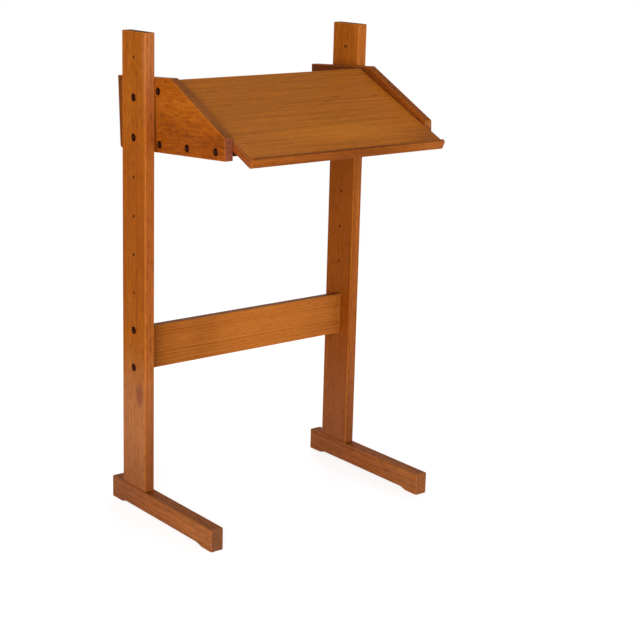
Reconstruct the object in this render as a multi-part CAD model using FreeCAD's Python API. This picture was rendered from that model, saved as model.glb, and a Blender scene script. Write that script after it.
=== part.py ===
import FreeCAD, Part
import math
import os

# Clerk's standing desk in oiled teak: two posts on long feet, a stretcher, and a desk box with a
# lifting lid. Millimetres and degrees. X runs across the desk, -Y to the front and +Z up.
# The box is drawn level about the middle of its bolts, then set at its tilt on the posts.

# Stand
desk_width = 718.0
post_top = 1248.0
post_depth = 107.0
post_thickness = 28.0
hole_pitch = 100.0
hole_count = 9
first_hole_drop = 63.0
hole_radius = 3.25
holes_above_box_count = 1
holes_above_stretcher_count = 7
foot_width = 36.0
foot_height = 58.0
foot_behind = 47.5
foot_ahead = 307.5
foot_relief = 6.0
foot_ramp = 20.0
back_pad = 47.5
front_pad = 43.0
tenon_thickness = 13.0
tenon_floor = 18.0
tenon_shoulder = 13.0
stretcher_thickness = 22.0
stretcher_margin = 7.0

# Desk box, about the middle of its bolts
box_tilt = 3.4
panel_thickness = 22.0
panel_behind = 112.5
panel_flat = 241.5
panel_depth = 463.5
panel_above = 50.0
panel_below = 35.0
panel_front_height = 54.0
panel_back_radius = 10.0
panel_front_radius = 3.0
bottom_thickness = 20.0
bottom_rise = 10.0
bottom_setback = 6.0
back_thickness = 28.0
back_gap = 5.0
back_drop = 26.2
back_screw_drop = 7.5
bottom_screw_shares = (0.41, 0.874)

# Lid
lid_thickness = 19.0
lid_overhang = 74.5
lid_rest_drop = 5.0
lid_side_gap = 1.5
lipping_width = 6.0
lip_width = 11.0
lip_rise = 5.0
lip_front_radius = 5.5
lip_inner_radius = 2.0
lip_lower_radius = 3.0

# Hinges
hinge_length = 60.0
hinge_place_share = 0.3
leaf_width = 20.0
leaf_thickness = 1.8
knuckle_count = 5
leaf_count = 2
knuckle_radius = 3.5
knuckle_gap = 0.3
knuckle_side_gap = 0.5
fold_gap = 1.0
pin_radius = 1.75
leaf_screw_shares = (0.18, 0.5, 0.82)
leaf_reach_shares = (0.72, 0.48, 0.72)

# Fasteners
head_radius = 9.5
head_height = 4.0
slot_width = 1.8
slot_depth = 1.5
slot_turn = 47.0
bolt_radius = 3.0
bolt_reach = 14.0
bolt_tip = 1.0
insert_radius = 4.5
insert_length = 16.0
insert_lead = 2.0
insert_nose_radius = 3.9
stretcher_screw_reach = 60.0
panel_screw_radius = 2.25
panel_screw_reach = 32.0
screw_tip = 6.0
leaf_screw_radius = 1.6
leaf_screw_length = 16.0
leaf_head_radius = 3.4
leaf_slot_width = 0.8
leaf_slot_depth = 0.7
leaf_tip = 3.0

# Finish and fits
arris = 2.0
fine_arris = 1.0
fit = 0.05
joint_gap = 0.15
overrun = 1.0

Vector = FreeCAD.Vector
across = Vector(1, 0, 0)
upward = Vector(0, 0, 1)
origin = Vector(0, 0, 0)
half_turn = 180.0
full_turn = 360.0
parallel_share = 0.999
same_place = 0.05


def block(x_low, x_high, y_low, y_high, z_low, z_high):
    """A rectangular block between two corners."""
    size = Vector(x_high - x_low, y_high - y_low, z_high - z_low)
    return Part.makeBox(size.x, size.y, size.z, Vector(x_low, y_low, z_low))


def rod(radius, x_low, x_high, y, z):
    """A round bar along X."""
    return Part.makeCylinder(radius, x_high - x_low, Vector(x_low, y, z), across)


def plate(outline, x_low, x_high):
    """A board sawn to an outline of (y, z) corners, its thickness along X."""
    corners = [Vector(x_low, y, z) for y, z in outline]
    face = Part.Face(Part.makePolygon(corners + corners[:1]))
    return face.extrude(Vector(x_high - x_low, 0, 0))


def eased(shape, radius, wanted):
    """The shape with the edges rounded whose middle point and direction are wanted."""
    edges = []
    for edge in shape.Edges:
        middle = edge.valueAt((edge.FirstParameter + edge.LastParameter) / 2)
        along = edge.tangentAt(edge.FirstParameter)
        if wanted(middle, along):
            edges.append(edge)
    return shape.makeFillet(radius, edges)


def runs(along, axis):
    """Whether an edge direction lies along an axis."""
    return abs(along.dot(axis)) > parallel_share


def near(value, target):
    """Whether two places coincide."""
    return abs(value - target) < same_place


def mirrored(shape):
    """The same shape on the other side of the desk."""
    return shape.mirror(origin, across)


def turned(profile):
    """A solid of revolution about X from a closed list of edges."""
    return Part.Face(Part.Wire(profile)).revolve(origin, across, full_turn)


def straight(points):
    """Straight edges from point to point."""
    return [Part.makeLine(a, b) for a, b in zip(points, points[1:])]


def domed_screw(shank_radius, length, tip):
    """A slotted screw with a domed head, its seat at X zero and its shank along +X."""
    crown = Vector(-head_height, 0, 0)
    rim = Vector(0, head_radius, 0)
    sphere = (head_radius ** 2 + head_height ** 2) / (2 * head_height)
    sweep = math.asin(head_radius / sphere) / 2
    waist = Vector(sphere - head_height - sphere * math.cos(sweep), sphere * math.sin(sweep), 0)
    tip_radius = shank_radius / 2
    shank = [rim, Vector(0, shank_radius, 0), Vector(length - tip, shank_radius, 0)]
    shank += [Vector(length, tip_radius, 0), Vector(length, 0, 0), crown]
    body = turned([Part.Arc(crown, waist, rim).toShape()] + straight(shank))
    slot = block(-head_height - overrun, slot_depth - head_height,
                 -slot_width / 2, slot_width / 2, -head_radius, head_radius)
    return body.cut(slot)


def driven(screw, index, x, y, z):
    """A copy of a screw at its seat on the left side, its slot turned by its place in the row."""
    copy = screw.copy()
    copy.rotate(origin, across, slot_turn * index)
    copy.translate(Vector(x, y, z))
    return copy


# Places on the stand
post_middle = (desk_width - foot_width) / 2
post_inner = post_middle - post_thickness / 2
post_outer = post_middle + post_thickness / 2
hole_heights = [post_top - first_hole_drop - hole_pitch * i for i in range(hole_count)]
box_bolts = hole_heights[holes_above_box_count:][:2]
stretcher_bolts = hole_heights[holes_above_stretcher_count:][:2]
box_height = sum(box_bolts) / 2


def make_post():
    """The left post: a plank with eased arrises, a stub tenon below and its row of holes."""
    front = -post_depth / 2
    post = block(-post_outer, -post_inner, front, -front, foot_height, post_top)
    post = eased(post, arris, lambda p, d: runs(d, upward) or near(p.z, post_top))
    tenon_front = front + tenon_shoulder
    tenon = block(-post_middle - tenon_thickness / 2, tenon_thickness / 2 - post_middle,
                  tenon_front, -tenon_front, tenon_floor, foot_height)
    post = post.fuse(tenon).removeSplitter()
    bores = [rod(hole_radius, -post_outer - overrun, overrun - post_inner, 0, z) for z in hole_heights]
    return post.cut(bores)


def make_foot():
    """The left foot: hollowed below between two pads, with a mortise for the post."""
    back = post_depth / 2 + foot_behind
    front = -post_depth / 2 - foot_ahead
    outline = [(back, 0), (back, foot_height), (front, foot_height), (front, 0), (front + front_pad, 0)]
    outline.append((front + front_pad + foot_ramp, foot_relief))
    outline += [(back - back_pad - foot_ramp, foot_relief), (back - back_pad, 0)]
    foot = plate(outline, -post_middle - foot_width / 2, foot_width / 2 - post_middle)
    foot = eased(foot, arris, lambda p, d: runs(d, upward) or near(p.z, foot_height))
    mortise_front = -post_depth / 2 + tenon_shoulder - joint_gap
    mortise_side = tenon_thickness / 2 + joint_gap
    mortise = block(-post_middle - mortise_side, mortise_side - post_middle, mortise_front, -mortise_front,
                    tenon_floor - joint_gap, foot_height + overrun)
    return foot.cut(mortise)


def make_stretcher():
    """The plank on edge between the posts, bored at its ends for its screws."""
    low = stretcher_bolts[1] - stretcher_margin
    high = stretcher_bolts[0] + stretcher_margin
    side = stretcher_thickness / 2
    plank = block(-post_inner, post_inner, -side, side, low, high)
    plank = eased(plank, arris, lambda p, d: runs(d, across))
    reach = stretcher_screw_reach + fit
    bores = []
    for z in stretcher_bolts:
        bores.append(rod(bolt_radius + fit, -post_inner - overrun, reach - post_inner, 0, z))
        bores.append(rod(bolt_radius + fit, post_inner - reach, post_inner + overrun, 0, z))
    return plank.cut(bores)


def post_fasteners(heights, reach, tip):
    """Domed screws through both posts at the given heights."""
    screw = domed_screw(bolt_radius, post_thickness + reach, tip)
    left = [driven(screw, i, -post_outer, 0, z) for i, z in enumerate(heights)]
    return Part.makeCompound(left + [mirrored(one) for one in left])


# Places in the desk box: y to the front is negative, z from the middle of the bolts
tilt = math.radians(box_tilt)
panel_inner = post_inner - panel_thickness
panel_high = hole_pitch / 2 + panel_above
panel_low = -hole_pitch / 2 - panel_below
panel_back = panel_behind
panel_front = panel_behind - panel_depth
slope_start = panel_behind - panel_flat
bolt_spots = [(-math.sin(tilt) * half, math.cos(tilt) * half) for half in (hole_pitch / 2, -hole_pitch / 2)]
bottom_low = panel_low + bottom_rise
bottom_high = bottom_low + bottom_thickness
bottom_front = panel_front + bottom_setback
back_rear = -post_depth / 2 - back_gap
back_face = back_rear - back_thickness
back_middle = (back_rear + back_face) / 2
back_high = panel_high - back_drop

# The lid lies between its hinge pin and the bottom board's front, its underside clear of the knuckle
knuckle_room = knuckle_radius + knuckle_side_gap
pin_y = back_face - knuckle_room
pin_z = back_high + fold_gap / 2
rest_z = bottom_high - lid_rest_drop
rest_run = pin_y - bottom_front
rest_fall = pin_z - rest_z
lid_slope = math.atan2(rest_fall, rest_run) + math.asin(knuckle_room / math.hypot(rest_run, rest_fall))
lid_back_y = pin_y - knuckle_room * math.sin(lid_slope) - fold_gap / 2 * math.cos(lid_slope)
lid_back_z = pin_z + knuckle_room * math.cos(lid_slope) - fold_gap / 2 * math.sin(lid_slope)
lid_length = (lid_back_y - panel_front) / math.cos(lid_slope) + lid_overhang
lid_side = panel_inner - lid_side_gap
board_side = lid_side - lipping_width
board_front = lip_width - lid_length
hinge_middle = 2 * lid_side * hinge_place_share

# Screws through each side panel: two into the back board, the rest into the bottom board
bottom_middle = (bottom_low + bottom_high) / 2
board_run = bottom_front - back_face
screw_spots = [(back_middle, back_high - back_screw_drop), (back_middle, bottom_middle)]
screw_spots += [(back_face + board_run * share, bottom_middle) for share in bottom_screw_shares]

box_place = FreeCAD.Placement(Vector(0, 0, box_height), FreeCAD.Rotation(across, -box_tilt))
lid_spot = FreeCAD.Placement(Vector(0, lid_back_y, lid_back_z),
                             FreeCAD.Rotation(across, math.degrees(lid_slope)))
lid_place = box_place.multiply(lid_spot)


def make_side_panel():
    """The left side panel: flat top edge, sloped front part, bored for inserts and screws."""
    front_top = panel_low + panel_front_height
    outline = [(panel_back, panel_low), (panel_back, panel_high), (slope_start, panel_high)]
    outline += [(panel_front, front_top), (panel_front, panel_low)]
    panel = plate(outline, -post_inner, -panel_inner)
    panel = eased(panel, panel_back_radius,
                  lambda p, d: runs(d, across) and near(p.y, panel_back) and near(p.z, panel_low))
    panel = eased(panel, panel_front_radius,
                  lambda p, d: runs(d, across) and near(p.y, panel_front))
    panel = eased(panel, fine_arris, lambda p, d: not runs(d, across))
    bores = []
    for y, z in bolt_spots:
        bores.append(rod(insert_radius + fit, -post_inner - overrun, insert_length - post_inner, y, z))
    for y, z in screw_spots:
        bores.append(rod(panel_screw_radius + fit, -post_inner - overrun, overrun - panel_inner, y, z))
    return panel.cut(bores)


def make_inserts():
    """Threaded sleeves let into the side panels for the box's bolts, tapered at the nose, threads plain."""
    points = [Vector(0, bolt_radius + fit, 0), Vector(0, insert_radius, 0)]
    points.append(Vector(insert_length - insert_lead, insert_radius, 0))
    points.append(Vector(insert_length, insert_nose_radius, 0))
    points += [Vector(insert_length, bolt_radius + fit, 0), points[0]]
    sleeve = turned(straight(points))
    left = [driven(sleeve, 0, -post_inner, y, z) for y, z in bolt_spots]
    return Part.makeCompound(left + [mirrored(one) for one in left])


def screw_bores():
    """The pilot bores of the side panels' screws in the boards between them."""
    bores = []
    end = panel_screw_reach + fit - panel_inner
    for y, z in screw_spots:
        bore = rod(panel_screw_radius + fit, -panel_inner - overrun, end, y, z)
        bores += [bore, mirrored(bore)]
    return bores


def make_panel_screws():
    """The domed screws that hold the side panels to the back and bottom boards."""
    screw = domed_screw(panel_screw_radius, panel_thickness + panel_screw_reach, screw_tip)
    left = [driven(screw, i, -post_inner, y, z) for i, (y, z) in enumerate(screw_spots)]
    return Part.makeCompound(left + [mirrored(one) for one in left])


def make_bottom_board():
    """The floor of the box, its front edge bevelled to carry the closed lid."""
    bevel_back = bottom_front + lid_rest_drop / math.tan(lid_slope)
    outline = [(back_face, bottom_low), (back_face, bottom_high), (bevel_back, bottom_high)]
    outline += [(bottom_front, rest_z), (bottom_front, bottom_low)]
    return plate(outline, -panel_inner, panel_inner).cut(screw_bores())


def leaf_spots():
    """The screws of a leaf: place along the hinge and reach from the pin."""
    places = [hinge_length * (share - sum(leaf_screw_shares) / len(leaf_screw_shares))
              for share in leaf_screw_shares]
    return [(x, leaf_width * reach) for x, reach in zip(places, leaf_reach_shares)]


def make_leaf(first):
    """A hinge leaf about its pin on X, its plate to +Y; first is its first knuckle along X."""
    half = hinge_length / 2
    top = -fold_gap / 2
    under = top - leaf_thickness
    root = knuckle_radius + knuckle_gap
    leaf = block(-half, half, root, leaf_width, under, top)
    step = hinge_length / knuckle_count
    for i in range(first, knuckle_count, leaf_count):
        low = step * i - half + knuckle_gap / 2
        high = step * (i + 1) - half - knuckle_gap / 2
        leaf = leaf.fuse([block(low, high, 0, root, under, top), rod(knuckle_radius, low, high, 0, 0)])
    leaf = leaf.removeSplitter()
    leaf = leaf.cut(rod(pin_radius + fit, -half - overrun, half + overrun, 0, 0))
    seats = []
    for x, y in leaf_spots():
        seats.append(Part.makeCone(leaf_screw_radius + fit, leaf_head_radius + fit, leaf_thickness,
                                   Vector(x, y, under), upward))
    return leaf.cut(seats)


def make_leaf_screws():
    """The countersunk slotted screws of one leaf, flush with the face that folds inward."""
    top = -fold_gap / 2
    screws = []
    for i, (x, y) in enumerate(leaf_spots()):
        seat = Vector(x, y, top - leaf_thickness)
        head = Part.makeCone(leaf_screw_radius, leaf_head_radius, leaf_thickness, seat, upward)
        shank_length = leaf_screw_length - leaf_thickness - leaf_tip
        shank = Part.makeCylinder(leaf_screw_radius, shank_length, seat, -upward)
        tip_start = seat - upward * shank_length
        tip = Part.makeCone(leaf_screw_radius, leaf_screw_radius / 2, leaf_tip, tip_start, -upward)
        slot = block(x - leaf_head_radius, x + leaf_head_radius, y - leaf_slot_width / 2,
                     y + leaf_slot_width / 2, top - leaf_slot_depth, top + overrun)
        slot.rotate(seat, upward, slot_turn * i)
        screws.append(head.fuse([shank, tip]).removeSplitter().cut(slot))
    return screws


def leaf_recess():
    """The housing of one leaf and its screws in the wood, cut from the folding face."""
    half = hinge_length / 2 + joint_gap
    top = -fold_gap / 2
    cuts = [block(-half, half, 0, leaf_width + joint_gap, top - leaf_thickness, top + overrun)]
    for x, y in leaf_spots():
        seat = Vector(x, y, top - leaf_thickness + fit)
        cuts.append(Part.makeCylinder(leaf_screw_radius + fit, leaf_screw_length, seat, -upward))
    return cuts


# Each hinge is drawn about its pin; the fixed leaf lies on the back board and the lid's leaf on the lid
fixed_leaf_place = FreeCAD.Placement(Vector(-hinge_middle, pin_y, pin_z), FreeCAD.Rotation())
lid_leaf_spot = FreeCAD.Placement(Vector(-hinge_middle, fold_gap / 2, -knuckle_room),
                                  FreeCAD.Rotation(Vector(0, 1, 1), half_turn))


def at(shape, place):
    """A copy of the shape moved to a place."""
    return shape.transformed(place.toMatrix(), True)


def make_back_board():
    """The back of the box, with housings for the fixed hinge leaves in its top edge."""
    board = block(-panel_inner, panel_inner, back_face, back_rear, bottom_low, back_high)
    cuts = [at(cut, fixed_leaf_place) for cut in leaf_recess()]
    cuts += [mirrored(cut) for cut in cuts]
    return board.cut(cuts + screw_bores())


def make_lid_board():
    """The writing board, its back edge housed for the hinge leaves. Its back lower edge is at the origin."""
    board = block(-board_side, board_side, board_front, 0, 0, lid_thickness)
    cuts = [at(cut, lid_leaf_spot) for cut in leaf_recess()]
    cuts += [mirrored(cut) for cut in cuts]
    return board.cut(cuts)


def make_lipping():
    """The solid strip glued to the left end of the writing board, its outer arrises eased."""
    strip = block(-lid_side, -board_side, board_front, 0, 0, lid_thickness)
    return eased(strip, fine_arris, lambda p, d: near(p.x, -lid_side) and not runs(d, upward))


def make_front_lip():
    """The raised strip along the lid's front edge, rounded over towards the user."""
    top = lid_thickness + lip_rise
    front = -lid_length
    lip = block(-lid_side, lid_side, front, board_front, 0, top)
    lip = eased(lip, lip_front_radius,
                lambda p, d: runs(d, across) and near(p.y, front) and near(p.z, top))
    lip = eased(lip, lip_inner_radius,
                lambda p, d: runs(d, across) and near(p.y, board_front) and near(p.z, top))
    lip = eased(lip, lip_lower_radius,
                lambda p, d: runs(d, across) and near(p.y, front) and near(p.z, 0))
    outer = [edge for edge in lip.Edges if near(abs(edge.CenterOfMass.x), lid_side)]
    free = [edge for edge in outer if not near(edge.CenterOfMass.y, board_front)]
    free = [edge for edge in free if not near(edge.CenterOfMass.z, 0)]
    return lip.makeFillet(fine_arris, free)


nodes = {}

post = make_post()
foot = make_foot()
nodes["left_post"] = post
nodes["right_post"] = mirrored(post)
nodes["left_foot"] = foot
nodes["right_foot"] = mirrored(foot)
nodes["stretcher"] = make_stretcher()
nodes["stretcher_screws"] = post_fasteners(stretcher_bolts, stretcher_screw_reach, screw_tip)
nodes["desk_bolts"] = post_fasteners(box_bolts, bolt_reach, bolt_tip)

panel = at(make_side_panel(), box_place)
nodes["left_side_panel"] = panel
nodes["right_side_panel"] = mirrored(panel)
nodes["desk_bolt_inserts"] = at(make_inserts(), box_place)
nodes["side_panel_screws"] = at(make_panel_screws(), box_place)
nodes["bottom_board"] = at(make_bottom_board(), box_place)
nodes["back_board"] = at(make_back_board(), box_place)

lipping = at(make_lipping(), lid_place)
nodes["lid_board"] = at(make_lid_board(), lid_place)
nodes["lid_left_lipping"] = lipping
nodes["lid_right_lipping"] = mirrored(lipping)
nodes["lid_front_lip"] = at(make_front_lip(), lid_place)

fixed_place = box_place.multiply(fixed_leaf_place)
hung_place = lid_place.multiply(lid_leaf_spot)
half_pin = hinge_length / 2
hinge_pin = rod(pin_radius, -half_pin, half_pin, 0, 0)
left_hinge = {
    "left_hinge_fixed_leaf": at(make_leaf(0), fixed_place),
    "left_hinge_lid_leaf": at(make_leaf(1), hung_place),
    "left_hinge_pin": at(hinge_pin, fixed_place),
}
nodes.update(left_hinge)
nodes.update({name.replace("left", "right"): mirrored(shape) for name, shape in left_hinge.items()})
for name, place in (("hinge_fixed_screws", fixed_place), ("hinge_lid_screws", hung_place)):
    left = [at(screw, place) for screw in make_leaf_screws()]
    nodes[name] = Part.makeCompound(left + [mirrored(screw) for screw in left])

# The origin is on the floor under the middle of the whole desk
whole = Part.makeCompound(list(nodes.values())).BoundBox
shift = Vector(0, -(whole.YMin + whole.YMax) / 2, 0)
os.makedirs("parts", exist_ok=True)
for name, shape in nodes.items():
    shape.translate(shift)
    shape.exportStep("parts/" + name + ".step")

pin = fixed_place.Base + shift
print("size", round(whole.XLength, 2), round(whole.YLength, 2), round(whole.ZLength, 2))
print("posts' middle at Y", round(shift.y, 3), "hinge pin at Y Z", round(pin.y, 3), round(pin.z, 3))
print("lid slope in the box", round(math.degrees(lid_slope), 2), "lid length", round(lid_length, 1))
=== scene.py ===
import math
from collections import namedtuple

import bpy
from mathutils import Matrix, Vector

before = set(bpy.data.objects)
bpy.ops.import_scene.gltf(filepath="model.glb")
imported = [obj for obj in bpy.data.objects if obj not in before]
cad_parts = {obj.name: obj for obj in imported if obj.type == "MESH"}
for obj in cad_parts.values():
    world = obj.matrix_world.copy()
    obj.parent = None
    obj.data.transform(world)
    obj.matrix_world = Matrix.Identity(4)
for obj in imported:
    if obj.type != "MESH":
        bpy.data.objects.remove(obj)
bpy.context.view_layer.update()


# Posts: two planks of oiled teak, planed, with their arrises rounded by hand and a tenon below in the
# feet. The row of holes down each one lets the desk box be bolted on at another height.
right = Vector((1, 0, 0))
back = Vector((0, 1, 0))
up = Vector((0, 0, 1))

# A board's middle and turn in the desk, and its half size along its grain, its width and its thickness.
Board = namedtuple("Board", "middle turn half")
# The colours of a board's dark, middle and light wood and of its end grain.
Tones = namedtuple("Tones", "dark middle light end")
# How much of each kind of figure a board shows.
Figure = namedtuple("Figure", "rings fibres patches streaks flecks")
# A soft mark on a board, used for stains and for painted light and shade: where its middle is, how far it
# reaches, its colour and how strong it is.
Mark = namedtuple("Mark", "place reach colour share")
# A sawn slope on a board: its normal, its distance from the board's middle and its colour.
Slope = namedtuple("Slope", "normal distance colour")
# The reach of a stain that doesn't fade along an axis: in metres, past the end of any board.
whole = 5.0


def seen_colour(red, green, blue):
    """A colour as it is seen on the wood, from 0 to 255, as a shader's colour."""
    shares = [value / 255 for value in (red, green, blue)]
    return [((share + 0.055) / 1.055) ** 2.4 for share in shares] + [1.0]


def deepened(colour, share):
    """A colour made darker or lighter by a share."""
    return [min(1.0, channel * share) for channel in colour[:3]] + [1.0]


def feed(tree, socket, value):
    """Joins an input to another node's output, or sets it to a plain value."""
    if isinstance(value, bpy.types.NodeSocket):
        tree.links.new(value, socket)
    else:
        socket.default_value = value


def reckon(tree, operation, *values):
    """The result of a sum on numbers or outputs."""
    node = tree.nodes.new("ShaderNodeMath")
    node.operation = operation
    for socket, value in zip(node.inputs, values):
        feed(tree, socket, value)
    return node.outputs[0]


def reckon_vector(tree, operation, *values):
    """The result of a sum on vectors; a length or a dot product comes out as a number."""
    node = tree.nodes.new("ShaderNodeVectorMath")
    node.operation = operation
    for socket, value in zip(node.inputs, values):
        feed(tree, socket, value)
    return node.outputs["Value" if operation in ("LENGTH", "DOT_PRODUCT") else "Vector"]


def eased(tree, value, start, end):
    """A soft step from 0, where the value is at start, to 1, where it is at end."""
    node = tree.nodes.new("ShaderNodeMapRange")
    node.interpolation_type = "SMOOTHSTEP"
    for label, setting in (("Value", value), ("From Min", start), ("From Max", end)):
        feed(tree, node.inputs[label], setting)
    return node.outputs["Result"]


def cloud(tree, point, waves, detail, output="Fac"):
    """Noise with a number of waves to the metre along each axis, about a middle of one half."""
    node = tree.nodes.new("ShaderNodeTexNoise")
    feed(tree, node.inputs["Vector"], reckon_vector(tree, "MULTIPLY", point, waves))
    feed(tree, node.inputs["Scale"], 1.0)
    feed(tree, node.inputs["Detail"], detail)
    return node.outputs[output]


def swayed(tree, value, share, base):
    """A base that a noise sways up and down by a share."""
    return reckon(tree, "MULTIPLY_ADD", reckon(tree, "SUBTRACT", value, 0.5), share, base)


def tinted(tree, value, stops):
    """A colour from a number, by stops of a place and a colour."""
    node = tree.nodes.new("ShaderNodeValToRGB")
    while len(node.color_ramp.elements) < len(stops):
        node.color_ramp.elements.new(1.0)
    for element, (place, colour) in zip(node.color_ramp.elements, stops):
        element.position = place
        element.color = colour
    feed(tree, node.inputs["Fac"], value)
    return node.outputs["Color"]


def blended(tree, share, under, over):
    """One colour laid over another by a share."""
    node = tree.nodes.new("ShaderNodeMix")
    node.data_type = "RGBA"
    share_socket, under_socket, over_socket = node.inputs[0], node.inputs[6], node.inputs[7]
    feed(tree, share_socket, share)
    feed(tree, under_socket, under)
    feed(tree, over_socket, over)
    return node.outputs[2]


def open_group(name, inputs, outputs):
    """A new shader node group: its tree, its inputs and its outputs by name."""
    tree = bpy.data.node_groups.new(name, "ShaderNodeTree")
    for label, kind in inputs.items():
        tree.interface.new_socket(label, in_out="INPUT", socket_type="NodeSocket" + kind)
    for label in outputs:
        tree.interface.new_socket(label, in_out="OUTPUT", socket_type="NodeSocketFloat")
    return tree, tree.nodes.new("NodeGroupInput").outputs, tree.nodes.new("NodeGroupOutput").inputs


def placed(tree, group, values):
    """A node group set into a material with its own values: its outputs by name."""
    node = tree.nodes.new("ShaderNodeGroup")
    node.node_tree = group
    for label, value in values.items():
        feed(tree, node.inputs[label], value)
    return node.outputs


def new_material(name):
    """A material, its tree and its shader."""
    material = bpy.data.materials.new(name)
    material.use_nodes = True
    return material, material.node_tree, material.node_tree.nodes["Principled BSDF"]


def roughened(tree, shader, height, strength, distance):
    """Gives a shader a fine relief."""
    bump = tree.nodes.new("ShaderNodeBump")
    bump.inputs["Strength"].default_value = strength
    bump.inputs["Distance"].default_value = distance
    feed(tree, bump.inputs["Height"], height)
    feed(tree, shader.inputs["Normal"], bump.outputs["Normal"])


def dress(node, material):
    """Gives a node its finish."""
    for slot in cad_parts[node].material_slots:
        slot.material = material


# The grain of a teak board, which runs along the board's own X axis: growth rings about a pith beside
# the board, which wander along it, long fibres, open pores, cloudy patches, dark streaks and short flecks.
drift_reach = (0, 0.022, 0.022)
lean_rate = (0, 0.012, 0.02)
ring_places = (0.0, 0.1, 0.55, 0.88, 1.0)
ring_levels = (0.75, 0.1, 0.35, 0.95, 0.75)
ring_stops = [(place, (level, level, level, 1.0)) for place, level in zip(ring_places, ring_levels)]
ring_middle = 0.3
weakest_year = 0.3
tree, given, result = open_group(
    "Teak grain",
    {"Point": "Vector", "Pith": "Vector", "Ring Width": "Float", "Ring Share": "Float",
     "Fibre Share": "Float", "Patch Share": "Float", "Streak Share": "Float", "Fleck Share": "Float",
     "Seed": "Float"},
    ["Tone", "Pores", "Shade", "Height"])
teak_grain = tree
moved = reckon_vector(tree, "ADD", given["Point"], given["Seed"])
drift = cloud(tree, moved, waves=(1.3, 7, 7), detail=2.0, output="Color")
drift = reckon_vector(tree, "SUBTRACT", drift, (0.5, 0.5, 0.5))
drift = reckon_vector(tree, "MULTIPLY", drift, drift_reach)
along = reckon_vector(tree, "DOT_PRODUCT", given["Point"], right)
lean = reckon_vector(tree, "MULTIPLY", along, lean_rate)
from_pith = reckon_vector(tree, "SUBTRACT", given["Point"], given["Pith"])
from_pith = reckon_vector(tree, "MULTIPLY", from_pith, back + up)
from_pith = reckon_vector(tree, "ADD", from_pith, reckon_vector(tree, "ADD", drift, lean))
age = reckon(tree, "DIVIDE", reckon_vector(tree, "LENGTH", from_pith), given["Ring Width"])
year = tree.nodes.new("ShaderNodeTexWhiteNoise")
year.noise_dimensions = "1D"
feed(tree, year.inputs["W"], reckon(tree, "FLOOR", age))
year_level = reckon(tree, "MULTIPLY_ADD", year.outputs["Value"], 1.0 - weakest_year, weakest_year)
ring = tinted(tree, reckon(tree, "FRACT", age), ring_stops)
ring = reckon(tree, "MULTIPLY", ring, year_level)
fibre = cloud(tree, moved, waves=(10, 420, 420), detail=3.0)
patch = cloud(tree, moved, waves=(3.2, 15, 15), detail=3.0)
mottle = cloud(tree, moved, waves=(34, 120, 120), detail=3.0)
patch = reckon(tree, "MULTIPLY", reckon(tree, "ADD", patch, mottle), 0.5)
streak = cloud(tree, moved, waves=(2.5, 130, 130), detail=2.0)
fleck = eased(tree, cloud(tree, moved, waves=(44, 360, 360), detail=2.0), 0.48, 0.74)
pores = eased(tree, cloud(tree, moved, waves=(42, 1400, 1400), detail=2.0), 0.6, 0.7)
ring_tone = reckon(tree, "SUBTRACT", ring_middle, ring)
tone = reckon(tree, "MULTIPLY_ADD", ring_tone, given["Ring Share"], 0.5)
tone = swayed(tree, fibre, given["Fibre Share"], tone)
tone = swayed(tree, patch, given["Patch Share"], tone)
unflecked = reckon(tree, "SUBTRACT", 1.0, reckon(tree, "MULTIPLY", fleck, given["Fleck Share"]))
shade = reckon(tree, "MULTIPLY", swayed(tree, streak, given["Streak Share"], 1.0), unflecked)
feed(tree, result["Tone"], tone)
feed(tree, result["Pores"], pores)
feed(tree, result["Shade"], shade)
feed(tree, result["Height"], reckon(tree, "SUBTRACT", fibre, pores))

# Wear and a painted sheen along a board's arrises, its end grain and its sawn slope, from how near a point
# is to the board's faces. Each of them is 1 at the edge or on the face, and 0 away from it.
face_start, face_full = 0.0006, 0.0001
tree, given, result = open_group(
    "Worn arrises and sheen",
    {"Point": "Vector", "Half Size": "Vector", "Slope": "Vector", "Slope Distance": "Float",
     "Width": "Float", "Seed": "Float"},
    ["Wear", "End", "Slope"])
arris_wear_and_sheen = tree
depth = reckon_vector(tree, "SUBTRACT", given["Half Size"], reckon_vector(tree, "ABSOLUTE", given["Point"]))
split = tree.nodes.new("ShaderNodeSeparateXYZ")
feed(tree, split.inputs[0], depth)
to_end, to_side, to_face = split.outputs
to_slope = reckon_vector(tree, "DOT_PRODUCT", given["Point"], given["Slope"])
to_slope = reckon(tree, "SUBTRACT", given["Slope Distance"], to_slope)
to_side = reckon(tree, "MINIMUM", to_side, to_slope)
near = reckon(tree, "MINIMUM", to_end, to_side)
far = reckon(tree, "MAXIMUM", to_end, to_side)
to_arris = reckon(tree, "MAXIMUM", near, reckon(tree, "MINIMUM", far, to_face))
rub = cloud(tree, reckon_vector(tree, "ADD", given["Point"], given["Seed"]), waves=(70, 70, 70), detail=3.0)
reach = reckon(tree, "MULTIPLY", given["Width"], reckon(tree, "MULTIPLY", rub, 2.0))
feed(tree, result["Wear"], eased(tree, to_arris, reach, 0.0))
feed(tree, result["End"], eased(tree, to_end, face_start, face_full))
feed(tree, result["Slope"], eased(tree, to_slope, face_start, face_full))


def board(node, grain, width):
    """A node measured along its grain, its width and its thickness."""
    turn = Matrix((grain, width, grain.cross(width))).transposed()
    points = [turn.transposed() @ vertex.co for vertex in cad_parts[node].data.vertices]
    low = Vector([min(point[axis] for point in points) for axis in range(3)])
    high = Vector([max(point[axis] for point in points) for axis in range(3)])
    return Board(turn @ ((low + high) / 2), turn, (high - low) / 2)


def on_board(piece, point):
    """A point of the desk in a board's own axes, from the board's middle."""
    return piece.turn.transposed() @ (point - piece.middle)


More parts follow.
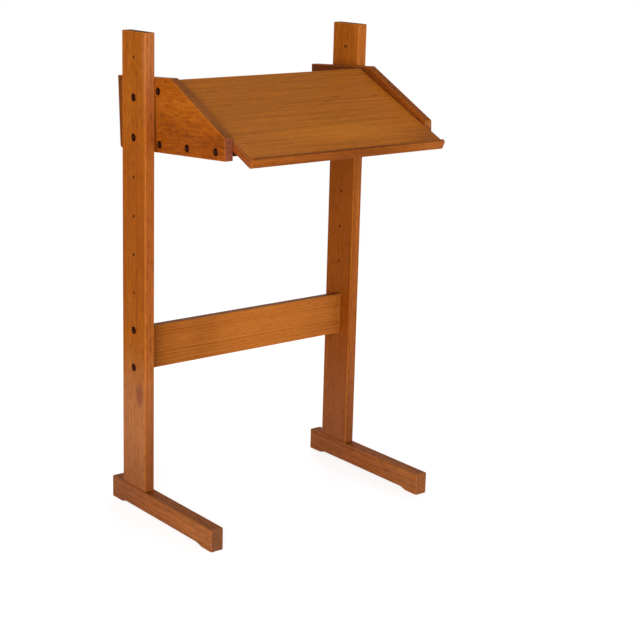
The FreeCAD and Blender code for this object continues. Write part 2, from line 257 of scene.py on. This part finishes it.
def teak(name, piece, seed, tones, pith, ring_width, figure, marks=(), slope=None):
    """Oiled teak on one board, with its rings about a pith, its figure, its stains and painted light and
    shade, its worn arrises with a painted sheen, and any sawn slope.
    """
    pore_share, pore_depth = 0.4, 0.62
    wear_and_sheen_width, wear_and_sheen_share, wear_and_sheen_lift = 0.0032, 0.45, 1.3
    cut_share, cut_dark, cut_light = 0.85, 0.6, 1.4
    mark_edge, mark_core = 1.0, 0.2
    sheen, roughness, grain_roughness, end_roughness = 0.03, 0.38, 0.14, 0.2
    material, tree, shader = new_material(name)
    slope = slope or Slope((0, 0, 0), 1.0, tones.end)
    mapping = tree.nodes.new("ShaderNodeMapping")
    mapping.vector_type = "TEXTURE"
    mapping.inputs["Location"].default_value = piece.middle
    mapping.inputs["Rotation"].default_value = piece.turn.to_euler()
    feed(tree, mapping.inputs["Vector"], tree.nodes.new("ShaderNodeTexCoord").outputs["Object"])
    point = mapping.outputs["Vector"]
    grain = placed(tree, teak_grain, {
        "Point": point, "Pith": pith, "Ring Width": ring_width, "Ring Share": figure.rings,
        "Fibre Share": figure.fibres, "Patch Share": figure.patches, "Streak Share": figure.streaks,
        "Fleck Share": figure.flecks, "Seed": seed})
    edge = placed(tree, arris_wear_and_sheen, {
        "Point": point, "Half Size": piece.half, "Slope": slope.normal, "Slope Distance": slope.distance,
        "Width": wear_and_sheen_width, "Seed": seed})
    colour = tinted(tree, grain["Tone"], [(0.12, tones.dark), (0.5, tones.middle), (0.88, tones.light)])
    pores = reckon(tree, "MULTIPLY", grain["Pores"], pore_share)
    colour = blended(tree, pores, colour, deepened(tones.dark, pore_depth))
    for mark in marks:
        away = reckon_vector(tree, "SUBTRACT", point, mark.place)
        away = reckon_vector(tree, "LENGTH", reckon_vector(tree, "DIVIDE", away, mark.reach))
        spread = reckon(tree, "MULTIPLY", eased(tree, away, mark_edge, mark_core), mark.share)
        colour = blended(tree, spread, colour, mark.colour)
    colour = reckon_vector(tree, "MULTIPLY", colour, grain["Shade"])
    # The arrises are lightened both for real wear and as a painted sheen along the edges.
    wear_and_sheen = reckon(tree, "MULTIPLY", edge["Wear"], wear_and_sheen_share)
    colour = blended(tree, wear_and_sheen, colour, deepened(tones.light, wear_and_sheen_lift))
    for face, face_tone in (("End", tones.end), ("Slope", slope.colour)):
        dark_cut, light_cut = deepened(face_tone, cut_dark), deepened(face_tone, cut_light)
        cut_tone = tinted(tree, grain["Tone"], [(0.2, dark_cut), (0.5, face_tone), (0.8, light_cut)])
        colour = blended(tree, reckon(tree, "MULTIPLY", edge[face], cut_share), colour, cut_tone)
    shader.inputs["Specular IOR Level"].default_value = sheen
    feed(tree, shader.inputs["Base Color"], colour)
    gloss = reckon(tree, "MULTIPLY_ADD", grain["Height"], grain_roughness, roughness)
    feed(tree, shader.inputs["Roughness"], reckon(tree, "MULTIPLY_ADD", edge["End"], end_roughness, gloss))
    roughened(tree, shader, grain["Height"], strength=0.25, distance=0.0004)
    return material


left_post = board("left_post", up, back)
right_post = board("right_post", up, back)
post_length, post_width, post_thickness = left_post.half
left_post_tones = Tones(seen_colour(142, 65, 8), seen_colour(171, 89, 14), seen_colour(196, 114, 28), seen_colour(92, 50, 24))
right_post_tones = Tones(seen_colour(146, 68, 10), seen_colour(177, 93, 16), seen_colour(201, 119, 30), seen_colour(92, 50, 24))
post_figure = Figure(rings=0.3, fibres=0.7, patches=0.9, streaks=0.5, flecks=0.4)
top_hole_drop = 0.063
hole_pitch = 0.1
hole_count = 9
filled_holes = (1, 2, 7, 8)
# Painted shade in the post holes and round the screw heads, laid on as a dark colour round each.
painted_hole_shade = seen_colour(70, 32, 6)
hole_shade_reach = 0.0072
screw_shade_reach = 0.014
post_foot = (-post_length, 0, 0)
# Paler, pinker lower parts of the posts: a painted reflection of the pale floor.
painted_sheen_left_foot = Mark((-0.41, 0, 0), (0.25, whole, whole), seen_colour(187, 118, 71), 0.75)
painted_sheen_right_foot = Mark(post_foot, (0.42, whole, whole), seen_colour(187, 119, 76), 0.85)
dark_waist = Mark((0.11, 0, 0), (0.32, whole, whole), seen_colour(150, 66, 6), 0.33)
# Darker front face beside the desk box: painted shade from the box next to it.
painted_shade_beside_box = Mark((0.43, -post_width, 0), (0.16, 0.006, whole), seen_colour(138, 60, 6), 0.5)
dark_foot = Mark(post_foot, (0.2, whole, whole), seen_colour(150, 88, 50), 0.65)
# Paler, pinker front faces of the posts: a painted sheen.
pale_front = Mark((0, -post_width, 0), (whole, 0.006, whole), seen_colour(176, 98, 50), 0.5)
# Front faces darker towards the bottom: painted shade.
painted_shade_low_front = Mark((-post_length, -post_width, 0), (0.4, 0.006, whole), seen_colour(138, 72, 34), 0.7)
post_marks = [dark_foot, pale_front, painted_shade_low_front]
for hole in range(hole_count):
    spread = screw_shade_reach if hole in filled_holes else hole_shade_reach
    hole_place = (post_length - top_hole_drop - hole * hole_pitch, 0, 0)
    post_marks.append(Mark(hole_place, (spread, spread, whole), painted_hole_shade, 0.9))
# Paler tops of the posts' front faces: painted light, which falls off lower down.
top_front = (post_length, -post_width, 0)
top_front_reach = (0.3, 0.02, whole)
painted_light_left_top = Mark(top_front, top_front_reach, seen_colour(190, 116, 68), 0.6)
painted_light_right_top = Mark(top_front, top_front_reach, seen_colour(206, 118, 46), 0.6)
knot_place = on_board(left_post, Vector((-0.355, 0.129, 0.318)))
knot = Mark(knot_place, (0.05, 0.024, 0.012), seen_colour(122, 56, 44), 0.6)
# Darker inner face of the right post, facing the left post: painted shade.
painted_shade_inner_face = Mark((-0.15, 0, post_thickness), (0.95, whole, 0.008), seen_colour(126, 58, 14), 0.65)
left_post_marks = [painted_sheen_left_foot, dark_waist] + post_marks + [painted_shade_beside_box, painted_light_left_top, knot]
right_post_marks = [painted_sheen_right_foot] + post_marks + [painted_light_right_top, painted_shade_inner_face]
dress("left_post", teak(
    "Left post teak", left_post, seed=1.0, tones=left_post_tones, pith=(0, 0.3, 0.08),
    ring_width=0.0085, figure=post_figure, marks=left_post_marks))
dress("right_post", teak(
    "Right post teak", right_post, seed=2.0, tones=right_post_tones, pith=(0, -0.3, 0.1),
    ring_width=0.009, figure=post_figure, marks=right_post_marks))


# Feet: long bearers of the same teak, hollowed underneath so that they stand on a pad at each end, with
# a mortise for the post. Their tones are less orange than the posts' and hold a painted floor reflection.
sheened_foot_tones = seen_colour(126, 66, 26), seen_colour(161, 90, 43), seen_colour(182, 110, 58)
foot_figure = Figure(rings=0.3, fibres=0.8, patches=0.6, streaks=0.8, flecks=0.4)
# The left foot's end grain gets a darker tone than the right's: painted shade.
for side, seed, foot_end in (("left", 3.0, seen_colour(126, 78, 52)), ("right", 4.0, seen_colour(158, 95, 54))):
    foot = board(side + "_foot", back, up)
    dark_back = Mark((foot.half.x, 0, 0), (0.24, whole, whole), seen_colour(132, 74, 42), 0.6)
    pale_front = Mark((-foot.half.x, 0, 0), (0.24, whole, whole), seen_colour(192, 124, 72), 0.2)
    # Darker top face of the foot: painted shade.
    painted_shade_top = Mark((0, foot.half.y, 0), (whole, 0.004, whole), seen_colour(124, 62, 12), 0.75)
    dress(side + "_foot", teak(
        side.capitalize() + " foot teak", foot, seed=seed, tones=Tones(*sheened_foot_tones, foot_end),
        pith=(0, 0.07, 0.05), ring_width=0.006, figure=foot_figure,
        marks=[dark_back, pale_front, painted_shade_top]))


# Stretcher: a plank on edge between the posts, held by two long screws through each of them. Its face
# shows wavy rings along its length.
stretcher_tones = Tones(seen_colour(142, 73, 21), seen_colour(181, 102, 38), seen_colour(205, 129, 56), seen_colour(120, 66, 30))
stretcher_figure = Figure(rings=0.4, fibres=0.6, patches=0.35, streaks=0.3, flecks=0.2)
stretcher = board("stretcher", right, up)
pale_middle = Mark((0.09, 0, 0), (0.26, whole, whole), seen_colour(212, 124, 50), 0.45)
dark_wave = Mark((-0.145, 0, 0), (0.075, whole, whole), seen_colour(132, 68, 16), 0.22)
# Darker left end of the stretcher: the painted shadow of the left post.
painted_shadow_left_end = Mark((-stretcher.half.x, 0, 0), (0.16, whole, whole), seen_colour(132, 68, 16), 0.45)
# Darker top edge of the stretcher: painted shade.
painted_shade_top = Mark((0, stretcher.half.y, 0), (whole, 0.003, whole), seen_colour(92, 46, 14), 0.75)
dress("stretcher", teak(
    "Stretcher teak", stretcher, seed=5.0, tones=stretcher_tones, pith=(0, -0.35, 0.1),
    ring_width=0.009, figure=stretcher_figure, marks=[pale_middle, dark_wave, painted_shadow_left_end, painted_shade_top]))


# Side panels of the desk box: teak boards with a flat top edge behind and a sawn slope in front, bolted
# to the posts with their front a little up. Their faces are mottled, with painted shade round the screws.
box_tilt = math.radians(3.4)
box_back = Vector((0, math.cos(box_tilt), -math.sin(box_tilt)))
box_up = Vector((0, math.sin(box_tilt), math.cos(box_tilt)))
panel_tones = seen_colour(114, 50, 8), seen_colour(167, 83, 11), seen_colour(192, 108, 25)
panel_figure = Figure(rings=0.12, fibres=0.35, patches=1.5, streaks=0.3, flecks=0.45)
screw_room = 0.025
slant = 0.2


def screw_places(node, piece):
    """The middle of each of a node's screws on a board's own side of the desk, on the board's face."""
    screws = []
    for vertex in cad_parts[node].data.vertices:
        if vertex.co.x * piece.middle.x > 0:
            spot = on_board(piece, vertex.co).xy
            near = [screw for screw in screws if (screw[0] - spot).length < screw_room]
            if near:
                near[0].append(spot)
            else:
                screws.append([spot])
    middles = []
    for screw in screws:
        low = [min(spot[axis] for spot in screw) for axis in range(2)]
        high = [max(spot[axis] for spot in screw) for axis in range(2)]
        middles.append(((low[0] + high[0]) / 2, (low[1] + high[1]) / 2, 0))
    return middles


def sawn_slope(node, piece, colour):
    """The largest face of a board that slants up towards the front."""
    slanted = []
    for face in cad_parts[node].data.polygons:
        normal = piece.turn.transposed() @ face.normal
        if normal.x < -slant and normal.y > slant:
            slanted.append((face.area, normal, normal.dot(on_board(piece, face.center))))
    area, normal, distance = max(slanted, key=lambda found: found[0])
    return Slope(normal, distance, colour)


for side, seed, back_share, front_tone, slope_tone in (
        ("left", 6.0, 0.6, seen_colour(136, 76, 54), seen_colour(142, 82, 34)),
        ("right", 7.0, 0.95, seen_colour(172, 104, 50), seen_colour(154, 80, 18))):
    name = side + "_side_panel"
    panel = board(name, box_back, box_up)
    to_post = (left_post.middle.y - post_width - panel.middle.y) * math.cos(box_tilt)
    screw_reach = (screw_shade_reach, screw_shade_reach, whole)
    screws = screw_places("side_panel_screws", panel)
    # Painted shade round each screw head.
    screw_shade_rings = [Mark(place, screw_reach, painted_hole_shade, 0.85) for place in screws]
    pale_by_post = Mark((to_post, 0.03, 0), (0.07, 0.12, whole), seen_colour(196, 106, 33), 0.5)
    dark_low = Mark((-0.1, -0.09, 0), (0.4, 0.075, whole), seen_colour(132, 56, 8), 0.38)
    # Darker back end of the panel: painted shade.
    back_corner = (panel.half.x, 0.03, -panel.half.z)
    dark_back = Mark(back_corner, (0.42 * back_share, 0.3, 0.012), seen_colour(82, 36, 12), back_share)
    post_shade = Mark((to_post, 0, 0), (0.009, whole, whole), seen_colour(72, 32, 10), 0.6)
    panel_marks = [pale_by_post] + screw_shade_rings + [dark_low, dark_back, post_shade]
    if side == "right":
        # Darker inner face of the right panel beside the lid: painted shade.
        painted_shade_inside = Mark((0, 0, -panel.half.z), (whole, whole, 0.01), seen_colour(128, 62, 22), 0.6)
        panel_marks.append(painted_shade_inside)
    dress(name, teak(
        side.capitalize() + " panel teak", panel, seed=seed, tones=Tones(*panel_tones, front_tone),
        pith=(0, -0.5, 0.1), ring_width=0.011, figure=panel_figure, marks=panel_marks,
        slope=sawn_slope(name, panel, slope_tone)))


# Back and bottom boards of the box: plain teak between the side panels, held by their screws. Their
# tones are darkened as painted shade from the lid.
shaded_box_tones = Tones(seen_colour(88, 44, 16), seen_colour(118, 64, 26), seen_colour(142, 84, 40), seen_colour(84, 42, 18))
box_figure = Figure(rings=0.5, fibres=0.4, patches=0.3, streaks=0.4, flecks=0.3)
bottom = board("bottom_board", right, box_back)
# The bottom board's front edge is nearly black: painted shadow under the lid.
painted_shadow_front = Mark((0, -bottom.half.y, 0), (whole, 0.03, whole), seen_colour(38, 20, 12), 0.9)
dress("bottom_board", teak(
    "Bottom board teak", bottom, seed=8.0, tones=shaded_box_tones, pith=(0, 0.05, 0.1),
    ring_width=0.007, figure=box_figure, marks=[painted_shadow_front]))
dress("back_board", teak(
    "Back board teak", board("back_board", right, box_up), seed=9.0, tones=shaded_box_tones, pith=(0, -0.04, 0.1),
    ring_width=0.007, figure=box_figure))


# Lid: a board veneered in quiet straight-grained teak, with solid lippings at its ends and a raised,
# rounded strip along its front edge that keeps paper and pencils from sliding off.
lid_slope = math.radians(25.22)
lid_back = Vector((0, math.cos(lid_slope), math.sin(lid_slope)))
lid_up = Vector((0, -math.sin(lid_slope), math.cos(lid_slope)))
veneer_tones = Tones(seen_colour(160, 88, 18), seen_colour(192, 110, 28), seen_colour(214, 131, 44), seen_colour(120, 66, 20))
veneer_figure = Figure(rings=0.24, fibres=0.7, patches=0.4, streaks=0.6, flecks=0.2)
lid_board = board("lid_board", right, lid_back)
front_left = (-lid_board.half.x, -lid_board.half.y, 0)
front_right = (lid_board.half.x, -lid_board.half.y, 0)
along_lip = (0, -lid_board.half.y, lid_board.half.z)
golden_band = Mark((0.03, -0.1, 0), (0.3, 0.055, whole), seen_colour(216, 128, 36), 0.7)
# Paler front left of the lid: a painted sheen.
painted_sheen_left = Mark(front_left, (0.3, 0.4, whole), seen_colour(186, 113, 50), 0.32)
# Paler right end of the lid: painted light against the shade of the side panel.
painted_light_right = Mark((lid_board.half.x, 0, 0), (0.24, 0.25, whole), seen_colour(212, 117, 28), 0.4)
dark_right = Mark(front_right, (0.15, 0.08, whole), seen_colour(154, 84, 22), 0.75)
scuff_places = (0.125, 0.053, 0), (0.08, 0.037, 0), (0.25, 0.047, 0)
scuffs = [Mark(place, (0.014, 0.005, whole), seen_colour(140, 72, 16), 0.5) for place in scuff_places]
lip_shade = Mark(along_lip, (whole, 0.005, 0.005), seen_colour(96, 44, 12), 0.7)
lid_marks = [golden_band, painted_sheen_left, painted_light_right, dark_right] + scuffs + [lip_shade]
dress("lid_board", teak(
    "Lid veneer", lid_board, seed=10.0, tones=veneer_tones, pith=(0, 0.5, 0.1),
    ring_width=0.008, figure=veneer_figure, marks=lid_marks))
lip_tones = Tones(seen_colour(138, 68, 18), seen_colour(170, 91, 30), seen_colour(192, 114, 48), seen_colour(150, 82, 36))
strip_figure = Figure(rings=0.4, fibres=0.4, patches=0.3, streaks=0.5, flecks=0.3)
lip = board("lid_front_lip", right, lid_back)
lower_left = (-0.6 * lip.half.x, -lip.half.y, -lip.half.z)
dark_middle = Mark((0.02, 0, 0), (0.17, whole, whole), seen_colour(122, 58, 18), 0.55)
pale_end = Mark((lip.half.x, 0, 0), (0.16, whole, whole), seen_colour(188, 106, 44), 0.75)
dark_lower = Mark(lower_left, (0.26, 0.02, 0.015), seen_colour(118, 56, 14), 0.6)
# Darker top of the lip: painted shade, as it faces away from the light.
painted_shade_crest = Mark((0, -0.0005, lip.half.z), (whole, 0.0045, 0.0045), seen_colour(108, 46, 10), 0.55)
dress("lid_front_lip", teak(
    "Lip teak", lip, seed=11.0, tones=lip_tones, pith=(0, 0.05, 0.06),
    ring_width=0.005, figure=strip_figure, marks=[dark_middle, pale_end, dark_lower, painted_shade_crest]))
lipping_tones = Tones(seen_colour(112, 52, 16), seen_colour(146, 72, 28), seen_colour(170, 96, 44), seen_colour(120, 62, 28))
for side, seed in (("left", 12.0), ("right", 13.0)):
    name = "lid_" + side + "_lipping"
    dress(name, teak(
        side.capitalize() + " lipping teak", board(name, lid_back, lid_up), seed=seed, tones=lipping_tones,
        pith=(0, 0.05, 0.06), ring_width=0.005, figure=strip_figure))


# Screws and bolts: slotted, domed heads of bronzed steel, seated on the wood. The crowns carry a
# painted highlight, a lighter colour where the dome faces the sides of the desk.
def metal(name, dull, bright, crown, roughness):
    """A tarnished metal: two colours in soft patches, a painted highlight colour where it faces the
    sides of the desk squarely, and fine scratches."""
    highlight_start, highlight_full = 0.93, 1.0
    scratch_roughness = 0.25
    material, tree, shader = new_material(name)
    point = tree.nodes.new("ShaderNodeTexCoord").outputs["Object"]
    tarnish = cloud(tree, point, waves=(160, 160, 160), detail=4.0)
    scratch = cloud(tree, point, waves=(900, 300, 2600), detail=2.0)
    normal = tree.nodes.new("ShaderNodeNewGeometry").outputs["Normal"]
    facing = reckon(tree, "ABSOLUTE", reckon_vector(tree, "DOT_PRODUCT", normal, right))
    # A lighter colour where the surface faces the sides of the desk: a painted highlight.
    painted_highlight = eased(tree, facing, highlight_start, highlight_full)
    colour = tinted(tree, tarnish, [(0.35, dull), (0.7, bright)])
    feed(tree, shader.inputs["Base Color"], blended(tree, painted_highlight, colour, crown))
    gloss = reckon(tree, "MULTIPLY_ADD", scratch, scratch_roughness, roughness)
    feed(tree, shader.inputs["Roughness"], gloss)
    shader.inputs["Metallic"].default_value = 1.0
    shader.inputs["Specular Tint"].default_value = crown
    roughened(tree, shader, scratch, strength=0.15, distance=0.0002)
    return material


bronzed = metal("Bronzed steel", seen_colour(36, 14, 10), seen_colour(58, 26, 18), seen_colour(104, 66, 58), roughness=0.3)
for node in ("stretcher_screws", "desk_bolts", "side_panel_screws"):
    dress(node, bronzed)


# Hinges: a pair of brass butts let into the back board's top edge and the lid's back edge, with
# countersunk brass screws. Brass sleeves in the side panels take the bolts.
brass = metal("Brass", seen_colour(140, 104, 50), seen_colour(170, 130, 66), seen_colour(156, 118, 58), roughness=0.28)
hinge_pieces = ["desk_bolt_inserts", "hinge_fixed_screws", "hinge_lid_screws"]
for side in ("left", "right"):
    hinge_pieces += [side + "_hinge_" + piece for piece in ("fixed_leaf", "lid_leaf", "pin")]
for node in hinge_pieces:
    dress(node, brass)


# Studio: a pale floor that runs out into a white surround, which keeps the desk's shadow near its feet.
floor_size = 40.0
shadow_reach = 1.1
white_reach = 2.6
shade_share = 0.36
near_glow = 0.8
floor_tone = (0.86, 0.86, 0.86, 1.0)
white = (1.0, 1.0, 1.0, 1.0)
black_to_white = [(0.0, (0.0, 0.0, 0.0, 1.0)), (1.0, white)]


def seen(tree):
    """1 for rays that show the studio itself: from the camera, off gloss and through glass."""
    rays = tree.nodes.new("ShaderNodeLightPath").outputs
    shown = reckon(tree, "MAXIMUM", rays["Is Camera Ray"], rays["Is Glossy Ray"])
    return reckon(tree, "MAXIMUM", shown, rays["Is Transmission Ray"])


bpy.ops.object.select_all(action="DESELECT")
bpy.ops.mesh.primitive_plane_add(size=floor_size)
floor = bpy.context.object
floor.name = "floor"
paper = bpy.data.materials.new("Floor")
paper.use_nodes = True
tree = paper.node_tree
tree.nodes.clear()
shown = seen(tree)
place = tree.nodes.new("ShaderNodeTexCoord").outputs["Object"]
out = eased(tree, reckon_vector(tree, "LENGTH", place), shadow_reach, white_reach)
shade = reckon(tree, "MULTIPLY_ADD", out, -shade_share, shade_share)
matt = tree.nodes.new("ShaderNodeBsdfDiffuse")
shown_tone = tinted(tree, shade, black_to_white)
feed(tree, matt.inputs["Color"], blended(tree, shown, floor_tone, shown_tone))
glow = tree.nodes.new("ShaderNodeEmission")
glow_level = reckon(tree, "MULTIPLY_ADD", out, 1.0 - near_glow, near_glow)
feed(tree, glow.inputs["Strength"], reckon(tree, "MULTIPLY", shown, glow_level))
both = tree.nodes.new("ShaderNodeAddShader")
feed(tree, both.inputs[0], matt.outputs[0])
feed(tree, both.inputs[1], glow.outputs[0])
feed(tree, tree.nodes.new("ShaderNodeOutputMaterial").inputs["Surface"], both.outputs[0])
floor.data.materials.append(paper)

# Light: an even white surround, a large soft lamp to the front left, a weaker one to the front right and
# one behind the desk on its right, which leaves no glare of its own.
surround_level = 0.3
desk_middle = Vector((0, 0, 0.7))
world = bpy.data.worlds.new("Studio")
bpy.context.scene.world = world
world.use_nodes = True
tree = world.node_tree
sky = tree.nodes["Background"]
sky.inputs["Color"].default_value = white
level = reckon(tree, "MULTIPLY_ADD", seen(tree), 1.0 - surround_level, surround_level)
feed(tree, sky.inputs["Strength"], level)


def lamp(name, place, size, power, glare):
    """A square soft lamp, turned to the middle of the desk, with or without a reflection of its own."""
    light = bpy.data.lights.new(name, "AREA")
    light.size = size
    light.energy = power
    holder = bpy.data.objects.new(name, light)
    holder.location = place
    holder.rotation_euler = (desk_middle - Vector(place)).to_track_quat("-Z", "Y").to_euler()
    holder.visible_glossy = glare
    bpy.context.scene.collection.objects.link(holder)


lamp("key", (-2.9, -2.6, 1.4), size=1.8, power=120, glare=True)
lamp("fill", (2.4, -2.6, 1.6), size=2.0, power=12, glare=True)
lamp("back", (2.6, 2.9, 1.6), size=2.2, power=90, glare=False)


# Camera: at standing height, to the front left of the desk, looking a little down.
image_side = 640
focal_pixels = 1538.6
axis_pixels = Vector((256, 288))
camera_place = Vector((-2.4018, -3.0868, 1.5498))
camera_turn = math.radians(36.94)
camera_dip = math.radians(13.91)
camera_roll = math.radians(1.035)
level_ahead = Vector((math.sin(camera_turn), math.cos(camera_turn), 0))
level_right = Vector((math.cos(camera_turn), -math.sin(camera_turn), 0))
ahead = level_ahead * math.cos(camera_dip) - up * math.sin(camera_dip)
level_up = level_right.cross(ahead)
frame_right = level_right * math.cos(camera_roll) + level_up * math.sin(camera_roll)
frame_up = level_up * math.cos(camera_roll) - level_right * math.sin(camera_roll)
camera_axes = Matrix((frame_right, frame_up, -ahead)).transposed().to_4x4()
lens = bpy.data.cameras.new("camera")
lens.lens = focal_pixels / image_side * lens.sensor_width
lens.shift_x = 0.5 - axis_pixels.x / image_side
lens.shift_y = axis_pixels.y / image_side - 0.5
camera = bpy.data.objects.new("camera", lens)
camera.matrix_world = Matrix.Translation(camera_place) @ camera_axes
bpy.context.scene.collection.objects.link(camera)
bpy.context.scene.camera = camera
bpy.context.scene.view_settings.view_transform = "Standard"
